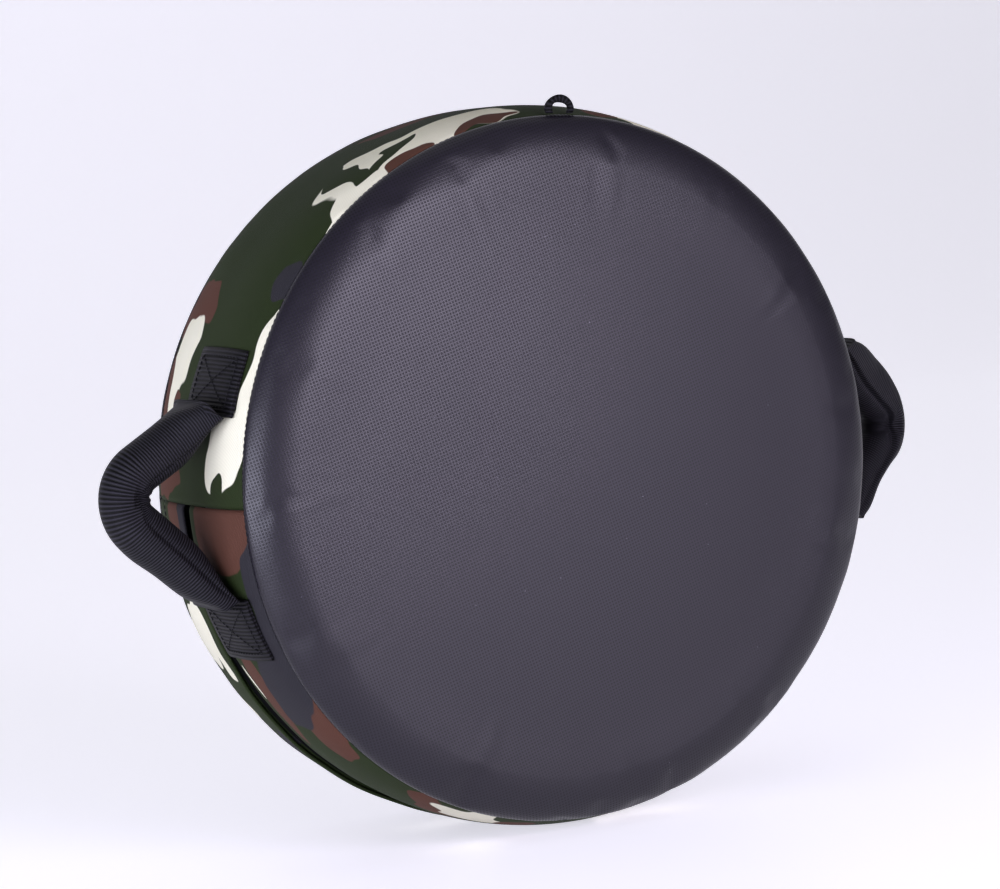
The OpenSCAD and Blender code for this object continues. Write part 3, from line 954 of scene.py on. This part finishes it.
# zip tapes in the groove
tape = {"thick": 0.8 * mm, "rise": 0.5 * mm, "steps": 180}
for name in ("zip_tape_front", "zip_tape_rear"):
    low, high = [Vector(corner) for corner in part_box(name)]
    topRadius = (high.x - low.x) / 2 + tape["rise"]
    endAngle = math.asin((pad["centre"].z - high.z) / topRadius)
    bm = spinProfile(
        [(topRadius, low.y), (topRadius, (low.y + high.y) / 2), (topRadius, high.y)],
        -math.pi + endAngle,
        math.pi - 2 * endAngle,
        tape["steps"],
    )
    pieceName = name.replace("zip_tape_", "zipTape")
    piece = addPiece(bm, pieceName, plainMaterials["wovenTape"], "pad", [name])
    addThickness(piece, tape["thick"])
# a dark sheet of tape cloth shuts the gap off from the foam, also past the ends of the tapes: partly the zip
# tape's own black, partly painted shade, a dark sheet put where the gap under the flap lies in shade
shadeLining = {"thick": 0.3 * mm, "depth": 9.4 * mm, "frontLap": 1 * mm, "turnUp": 1.2 * mm, "top": 1.6 * mm}
shadeLiningFloor = pad["radius"] - shadeLining["depth"]
bm = spinProfile(
    [
        (shadeLiningFloor, zipFront - shadeLining["frontLap"]),
        (shadeLiningFloor, zipRear + shadeLining["turnUp"]),
        (pad["radius"] - flap["thick"] - shadeLining["thick"], zipRear + shadeLining["top"]),
    ],
    -math.pi + halfGap,
    math.pi - 2 * halfGap,
    tape["steps"],
)
# painted shade: this dark sheet blacks out the gap under the flap
piece = addPiece(bm, "zipShadeLining", plainMaterials["wovenTape"], "pad")
addThickness(piece, shadeLining["thick"])
for name in ("zip_teeth_front", "zip_teeth_rear"):
    nodes[name].material_slots[0].material = plainMaterials["mouldedTeeth"]
for name in ("zip_stops", "zip_slider", "zip_pull"):
    nodes[name].material_slots[0].material = plainMaterials["paintedZinc"]
print("zip made")

# grips: webbing tabs sewn to the side, and a padded sleeve that goes from flat to round
# a turn is in degrees round the sleeve, from its front through its outer side
grip = {
    "span": 102 * mm,
    "reach": 52 * mm,
    "bend": 20 * mm,
    "thick": 28 * mm,
    "layer": 1.7 * mm,
    "gap": 0.3 * mm,
    "neckRun": 26 * mm,
    "mouth": 12 * mm,
    "mouthShare": 0.3,  # of the neck, over which the flat end opens to the mouth
    "mouthSquare": 3,  # a round section is 1
    "fillFrom": 0.35,  # share of the neck at which it starts to fill out
    "neckSteps": 16,
    "armSteps": 7,
    "bendSteps": 40,
    "around": 72,
    "pinch": {"depth": 4.2 * mm, "size": 5.5 * mm, "turn": 338},
    "crease": {"depth": 0.9 * mm, "reach": 15 * mm, "count": 7},
    "lap": {"rise": 2.1 * mm, "turn": 334, "edge": 4, "width": 90, "groove": 1.1 * mm, "grooveWidth": 5},
    "lapDrift": 20,  # degrees that the lap turns to the front along the lower arm
    "lapDriftRun": 24 * mm,
    "foamInside": 3.2 * mm,
}
tab = {
    "long": 38.5 * mm,
    "wide": 50 * mm,
    "pressed": 0.42,  # how far the far end sinks into the padding
    "corner": 0.6 * mm,
    "groove": 0.7 * mm,
    "topShares": (-0.976, -0.64, -0.32, 0, 0.32, 0.64, 0.976),
    "underShares": (0.976, 0.5, 0, -0.5, -0.976),
    "endShare": 0.45,  # of the thickness, to which the fold and the far end taper
    "foldTaper": 4,
    "endTaper": 8,
    "steps": 32,
    "inset": 5 * mm,
    "stitchEvery": 3.1 * mm,
    "stitchSpan": (0.15, 0.5, 0.85),
    "stitchLap": 1.1,
}
# outer: where the outer side is fuller or flatter, as mm from the middle of the bend, reach and amount
hands = {
    "left": {
        "hand": -1,
        "lift": 9 * mm,
        "sway": 0,
        "body": "left_grip",
        "mouthEnd": 7 * mm,
        "mouthSwell": 5 * mm,
        "mouthWide": 54 * mm,
        "outer": ((26, 14, 2),),
    },
    "right": {
        "hand": 1,
        "lift": -2 * mm,
        "sway": 20,
        "body": "right_grip",
        "mouthEnd": 4.5 * mm,
        "mouthSwell": 0,
        "mouthWide": 42 * mm,
        "outer": ((-44, 17, 4.5), (-24, 14, 3.5), (28, 17, -6), (55, 18, -4.5)),
    },
}
strapAt = (tabLow.y + tabHigh.y) / 2
tabThick = 2 * grip["layer"]
tabMid = wallRadius(strapAt) + grip["gap"] + grip["layer"]
tabAngle = tab["long"] / tabMid
foldAngle = math.asin(grip["span"] / 2 / tabMid)
foldX = tabMid * math.cos(foldAngle)
foldZ = grip["span"] / 2
bendX = foldX + grip["reach"] - grip["bend"]


def armSlope(side, lift):
    out = bendX - foldX
    rise = foldZ - side * lift
    return math.acos(grip["bend"] / math.hypot(out, rise)) - math.atan2(out, rise)


# stations along a grip's middle line: centre and outward normal in the plane of the grip, thickness,
# width, how square the section is, the share of the sway, and the distance from the middle of the bend
def gripStations(held):
    rounded = (grip["thick"], grip["thick"], 1, 1)
    bendCentre = Vector((bendX, held["lift"]))
    slopes = {side: armSlope(side, held["lift"]) for side in (1, -1)}
    nudge = 0.01
    arms = []
    for side, slope in slopes.items():
        way = Vector((math.cos(slope), -side * math.sin(slope)))
        along = Vector((math.sin(foldAngle), -side * math.cos(foldAngle)))
        fold = Vector((foldX, side * foldZ))
        start = fold * (pad["radius"] / wallRadius(strapAt)) + along * grip["gap"]
        end = fold + way * (grip["neckRun"] / way.x)
        handleA = start + along * grip["layer"]
        handleB = start + way * grip["mouth"] / 2

        def middle(t):
            return (
                start * (1 - t) ** 3
                + handleA * (3 * t * (1 - t) ** 2)
                + handleB * (3 * t * t * (1 - t))
                + end * t**3
            )

        arm = []
        for i in range(grip["neckSteps"] + 1):
            t = i / grip["neckSteps"]
            k = ease(t)
            step = middle(min(1, t + nudge)) - middle(max(0, t - nudge))
            normal = side * Vector((-step.y, step.x)).normalized()
            opened = ease(t / grip["mouthShare"])
            filled = ease((t - grip["fillFrom"]) / (1 - grip["fillFrom"]))
            thick = held["mouthEnd"] + (grip["mouth"] - held["mouthEnd"]) * opened
            thick += (grip["thick"] - grip["mouth"]) * filled
            lifted = (thick - tabThick) / 2 * (1 - k)
            if side > 0:
                extra = held["mouthSwell"] * (1 - k)
                thick += extra
                lifted += extra / 2
            wide = held["mouthWide"] + (grip["thick"] - held["mouthWide"]) * k
            square = grip["mouthSquare"] + (1 - grip["mouthSquare"]) * k
            arm.append((middle(t) + normal * lifted, normal, thick, wide, square, k * t))
        bendEnd = bendCentre + grip["bend"] * Vector((math.sin(slope), side * math.cos(slope)))
        for i in range(1, grip["armSteps"]):
            centre = end.lerp(bendEnd, i / grip["armSteps"])
            arm.append((centre, side * Vector((-way.y, way.x)), *rounded))
        arms.append(arm)
    top = math.pi / 2 - slopes[1]
    low = slopes[-1] - math.pi / 2
    bend = []
    for i in range(grip["bendSteps"] + 1):
        angle = top + (low - top) * i / grip["bendSteps"]
        normal = Vector((math.cos(angle), math.sin(angle)))
        bend.append((bendCentre + grip["bend"] * normal, normal, *rounded))
    line = arms[0] + bend + arms[1][::-1]
    runs = [0]
    for earlier, later in zip(line, line[1:]):
        runs.append(runs[-1] + (later[0] - earlier[0]).length)
    apex = runs[len(arms[0]) + grip["bendSteps"] // 2]
    return [station + (length - apex,) for station, length in zip(line, runs)]


def gripPoint(plane, out, hand, sway):
    turn = math.radians(sway)
    x = foldX + (plane.x - foldX) * math.cos(turn) + out * math.sin(turn)
    forward = out * math.cos(turn) - (plane.x - foldX) * math.sin(turn)
    return Vector((hand * x, strapAt - forward, pad["centre"].z + plane.y))


# how far the sleeve's cloth sinks: creases fan out from one pinch inside the bend, one long edge laps
# over the other with a sewn groove beside it, and the outer side is fuller or flatter in places
def sleeveDent(held, fromApex, turn, share):
    pinch, crease, lap = grip["pinch"], grip["crease"], grip["lap"]
    around = math.radians(turn - pinch["turn"]) * grip["thick"] / 2
    away = math.hypot(fromApex, around)
    fan = math.atan2(around, fromApex)
    core = math.exp(-((away / pinch["size"]) ** 2))
    spread = math.exp(-((away / crease["reach"]) ** 2)) * (1 - core)
    dent = pinch["depth"] * core + crease["depth"] * spread * math.cos(crease["count"] * fan)
    drift = grip["lapDrift"] * ease(fromApex / grip["lapDriftRun"])
    pastLap = (turn - lap["turn"] - drift) % 360
    dent -= share * lap["rise"] * ease(pastLap / lap["edge"]) * (1 - ease(pastLap / lap["width"]))
    fromGroove = 360 - pastLap - lap["edge"]
    dent += share * lap["groove"] * math.exp(-((fromGroove / lap["grooveWidth"]) ** 2))
    outerSide = max(0, math.sin(math.radians(turn)))
    for at, reach, amount in held["outer"]:
        dent -= amount * mm * outerSide * math.exp(-(((fromApex / mm - at) / reach) ** 2))
    return dent


def gripRings(held, inside=0):
    rings = []
    for centre, normal, thick, wide, square, share, fromApex in gripStations(held):
        ring = []
        for i in range(grip["around"]):
            turn = 360 * i / grip["around"]
            c, s = math.cos(math.radians(turn)), math.sin(math.radians(turn))
            u = math.copysign(abs(c) ** (1 / square), c) * wide / 2
            v = math.copysign(abs(s) ** (1 / square), s) * thick / 2
            size = 1 - (sleeveDent(held, fromApex, turn, share) + inside) / (thick / 2)
            ring.append(gripPoint(centre + normal * v * size, u * size, held["hand"], held["sway"] * share))
        rings.append(ring)
    return rings


def makeGrip(side):
    held = hands[side]
    sleeve = addPiece(
        loftRings(gripRings(held)),
        side + "Sleeve",
        sleevingMaterial,
        None,
        [side + "_sleeve", side + "_upper_neck", side + "_lower_neck"],
    )
    addSubdivision(sleeve, 1)
    middleZ = pad["centre"].z
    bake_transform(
        sleeve,
        "pad",
        held["body"],
        start=(held["hand"] * (foldX + 2 * mm), strapAt, middleZ),
        end=(held["hand"] * (foldX + grip["neckRun"]), strapAt, middleZ),
    )
    padded = gripRings(held, grip["foamInside"])[grip["neckSteps"] : -grip["neckSteps"]]
    addPiece(
        loftRings(padded),
        side + "Padding",
        plainMaterials["paddingFoam"],
        held["body"],
        [side + "_grip_foam"],
    )
    nodes[side + "_strap"].material_slots[0].material = webbingMaterial


def tabTop(t):
    return tabThick * (1 - tab["pressed"] * ease(t))


def tabPoint(hand, angle, out, rise):
    across = strapAt - out
    point = padPoint(angle, wallRadius(across) + grip["gap"] + rise, across)
    return Vector((hand * point.x, point.y, point.z))


# a section of the two layers, with a groove between them along both edges
def tabRing(t, way, hand, squeeze):
    half = tab["wide"] / 2
    middle = tabThick / 2
    edgeLine = [
        (half, tabThick - tab["corner"]),
        (half, middle + tab["groove"]),
        (half - tab["groove"], middle),
        (half, middle - tab["groove"]),
        (half, tab["corner"]),
    ]
    outline = [(half * share, tabThick) for share in tab["topShares"]] + edgeLine
    outline += [(half * share, 0) for share in tab["underShares"]]
    outline += [(-out, height) for out, height in reversed(edgeLine)]
    angle = way * (foldAngle + tabAngle * t)
    return [
        tabPoint(hand, angle, out, (middle + (height - middle) * squeeze) * tabTop(t) / tabThick)
        for out, height in outline
    ]


# sews a box with a cross in it on a tab
def sewTab(curve, hand, side):
    halfLong = tab["long"] / 2 - tab["inset"]
    halfWide = tab["wide"] / 2 - tab["inset"]
    middle = side * (foldAngle + tabAngle / 2)
    corners = [Vector(corner) for corner in ((-1, -1), (1, -1), (1, 1), (-1, 1))]
    box = list(zip(corners, corners[1:] + corners[:1]))
    cross = [corners[0::2], corners[1::2]]

    def onTab(place):
        angle = middle + place.x * halfLong / tabMid
        return tabPoint(hand, angle, place.y * halfWide, tabTop((abs(angle) - foldAngle) / tabAngle))

    for start, end in box + cross:
        count = round((onTab(end) - onTab(start)).length / tab["stitchEvery"])
        for i in range(count):
            a, place, b = [onTab(start.lerp(end, (i + share) / count)) for share in tab["stitchSpan"]]
            addStitch(curve, place, b - a, place - pad["centre"], (b - a).length * tab["stitchLap"])


def makeTabs(side):
    hand = hands[side]["hand"]
    for name, way in (("upper", 1), ("lower", -1)):
        rings = []
        for i in range(tab["steps"] + 1):
            t = i / tab["steps"]
            squeeze = min(1, tab["endShare"] + min(tab["foldTaper"] * t, tab["endTaper"] * (1 - t)))
            rings.append(tabRing(t, way, hand, squeeze))
        addPiece(
            loftRings(rings),
            side + name.capitalize() + "Tab",
            webbingMaterial,
            "pad",
            [side + "_" + name + "_tab"],
        )
        curve = newThread(side + name.capitalize() + "Stitching")
        sewTab(curve, hand, way)
        addThread(curve, "pad")


for side in hands:
    makeTabs(side)
    makeGrip(side)
print("grips made")

# hanging loop: a rolled tape bent round, with its flattened feet on a stub of tape in the front seam
loop = {
    "strand": 4.4 * mm,
    "bend": 5.6 * mm,
    "foot": 2.4 * mm,
    "heel": 2.5 * mm,  # the feet stay this near to the hinge, so that they swing clear of the stub
    "heelShare": 0.97,
    "around": 16,
    "steps": 22,
    "footSteps": 7,
    "twist": 4,
    "ridge": 0.22 * mm,
}
anchor = {
    "tall": 1.1 * mm,
    "wide": 4.2 * mm,
    "length": 1.04,  # as a share of the loop's width
    "endShare": 0.35,
    "endTaper": 4,
    "fall": 0.9 * mm,  # it follows the face's rounded edge down this far
    "fallRun": 4 * mm,
    "around": 12,
    "steps": 16,
}
loopWidth = loopHigh.x - loopLow.x
loopMiddle = (loopLow + loopHigh) / 2
loopCentre = Vector((loopMiddle.x, loopMiddle.y, loopHigh.z - loop["bend"] - loop["strand"] / 2))
loopAxis = next(Vector(joint["pos_m"]) for joint in frame["joints"] if joint["name"] == "loop_flop")
loopAngle = angleOf(loopCentre)
loopUp = Vector((math.cos(loopAngle), 0, math.sin(loopAngle)))
loopSide = Vector((loopUp.z, 0, -loopUp.x))
forward = Vector((0, -1, 0))


def makeLoop():
    halfWide = loopWidth / 2 - loop["strand"] / 2
    hingeRise = (loopAxis - loopCentre).dot(loopUp)
    lowest = hingeRise - loop["heelShare"] * loop["heel"]
    leg = []
    for i in range(loop["footSteps"]):
        rise = lowest * (1 - i / loop["footSteps"])
        leg.append((halfWide * math.sqrt(1 - (rise / loop["bend"]) ** 2), rise, 0))
    for i in range(loop["steps"] + 1):
        turn = math.pi / 2 * i / loop["steps"]
        leg.append((halfWide * math.cos(turn), loop["bend"] * math.sin(turn), turn))
    path = [(-1, *place) for place in leg] + [(1, *place) for place in leg[-2::-1]]
    rings = []
    for number, (hand, aside, rise, turn) in enumerate(path):
        outward = loopSide * hand * math.cos(turn) + loopUp * math.sin(turn)
        middle = loopCentre + loopSide * hand * aside + loopUp * rise
        below = max(0, hingeRise - rise)
        flattened = forward * math.sqrt(1 - (below / loop["heel"]) ** 2)
        ring = []
        for i in range(loop["around"]):
            a = fullTurn * i / loop["around"]
            ridge = loop["ridge"] * math.cos(2 * a + loop["twist"] * number / loop["steps"])
            radius = loop["strand"] / 2 + ridge
            ring.append(middle + radius * (outward * math.cos(a) + flattened * math.sin(a)))
        rings.append(ring)
    piece = addPiece(loftRings(rings), "hangingLoop", webbingMaterial, "loop", ["hanging_loop"])
    addSubdivision(piece, 1)


def makeAnchor():
    rings = []
    middle = (loopCentre - pad["centre"]).xz.length - loop["foot"] - loop["strand"] / 4
    for i in range(anchor["steps"] + 1):
        t = i / anchor["steps"]
        angle = loopAngle + loopWidth / middle * (t - 0.5) * anchor["length"]
        taper = min(1, anchor["endShare"] + anchor["endTaper"] * min(t, 1 - t))
        ring = []
        for k in range(anchor["around"]):
            a = fullTurn * k / anchor["around"]
            across = loopMiddle.y - anchor["wide"] / 2 * math.cos(a) * taper
            fall = anchor["fall"] * ease((-edge - across) / anchor["fallRun"])
            rise = anchor["tall"] / 2 * math.sin(a) * taper
            ring.append(padPoint(angle, middle - fall + rise, across))
        rings.append(ring)
    piece = addPiece(loftRings(rings), "loopAnchor", webbingMaterial, "pad", ["loop_anchor"])
    addSubdivision(piece, 1)


makeLoop()
makeAnchor()
print("loop made")

# floor and backdrop: one pale sheet that curves up behind the pad
studio = {
    "wide": 24,
    "front": -7,
    "bend": 2.2,
    "bendRadius": 1.2,
    "bendSteps": 12,
    "high": 4.5,
    "paper": "#efeef5",
    "rough": 0.5,
    "shine": 0.3,
    "glow": 0.63,
    "glowFade": (-1.2, -0.5),  # the glow fades out this far in front of the pad
    "surround": "#f3f3f8",
    "surroundStrength": 0.12,
}
line = [(studio["front"], 0)]
for i in range(studio["bendSteps"] + 1):
    turn = math.pi / 2 * i / studio["bendSteps"]
    back = studio["bend"] + studio["bendRadius"] * math.sin(turn)
    line.append((back, studio["bendRadius"] * (1 - math.cos(turn))))
line.append((studio["bend"] + studio["bendRadius"], studio["high"]))
bm = bmesh.new()
verts = [bm.verts.new((-studio["wide"] / 2, back, up)) for back, up in line]
edges = [bm.edges.new(pair) for pair in zip(verts, verts[1:])]
made = bmesh.ops.extrude_edge_only(bm, edges=edges)["geom"]
bmesh.ops.translate(
    bm, verts=[item for item in made if isinstance(item, bmesh.types.BMVert)], vec=(studio["wide"], 0, 0)
)
mesh = bpy.data.meshes.new("backdrop")
bm.to_mesh(mesh)
bm.free()
mesh.shade_smooth()
backdrop = bpy.data.objects.new("backdrop", mesh)
scene.collection.objects.link(backdrop)
# pale paper with a little glow, which the eye and reflections see but which sheds no light on the pad
material, tree, shader = newMaterial("backdropPaper", studio["rough"], studio["shine"])
shader.inputs["Base Color"].default_value = linear(studio["paper"])
shader.inputs["Emission Color"].default_value = linear(studio["paper"])
place = addNode(tree, "ShaderNodeTexCoord").outputs["Object"]
depth = addNode(tree, "ShaderNodeSeparateXYZ", {"Vector": place}).outputs["Y"]
fadeFrom, fadeTo = studio["glowFade"]
glow = addNode(
    tree,
    "ShaderNodeMapRange",
    {"Value": depth, "From Min": fadeFrom, "From Max": fadeTo, "To Max": studio["glow"]},
    interpolation_type="SMOOTHSTEP",
)
lightPath = addNode(tree, "ShaderNodeLightPath").outputs
shown = lightPath["Is Camera Ray"]
for ray in ("Is Glossy Ray", "Is Transmission Ray"):
    shown = addNode(tree, "ShaderNodeMath", {0: shown, 1: lightPath[ray]}, operation="MAXIMUM").outputs[0]
dimmed = addNode(tree, "ShaderNodeMath", {0: glow.outputs["Result"], 1: shown}, operation="MULTIPLY")
tree.links.new(dimmed.outputs[0], shader.inputs["Emission Strength"])
mesh.materials.append(material)

# lamps: soft boxes on the left, in front, above and towards the backdrop, and a pale surround
lamps = {
    "leftBox": {"place": (-1.5, -0.7, 0.22), "size": (1.9, 0.44), "power": 31, "colour": "#e9e9ff"},
    "frontBox": {"place": (0.56, -1.98, 0.6), "size": (0.95, 1.15), "power": 36, "colour": "#f0e7ff"},
    "topBox": {"place": (0.1, 0.1, 2.2), "size": (1.8, 1.6), "power": 4, "colour": "#ffffff"},
    "backBox": {
        "place": (0.8, 1.6, 2.4),
        "aim": (0.8, 3.4, 0.8),
        "size": (2.6, 0.8),
        "power": 5,
        "colour": "#ffffff",
    },
}
for name, lamp in lamps.items():
    data = bpy.data.lights.new(name, "AREA")
    data.shape = "RECTANGLE"
    data.size, data.size_y = lamp["size"]
    data.energy = lamp["power"]
    data.color = linear(lamp["colour"])[:3]
    light = bpy.data.objects.new(name, data)
    scene.collection.objects.link(light)
    light.visible_camera = False
    light.location = lamp["place"]
    aim = Vector(lamp.get("aim", pad["centre"])) - Vector(lamp["place"])
    light.rotation_euler = aim.to_track_quat("-Z", "Y").to_euler()
world = bpy.data.worlds.new("surround")
scene.world = world
world.use_nodes = True
ground = world.node_tree.nodes["Background"]
ground.inputs["Color"].default_value = linear(studio["surround"])
ground.inputs["Strength"].default_value = studio["surroundStrength"]
print("studio made")
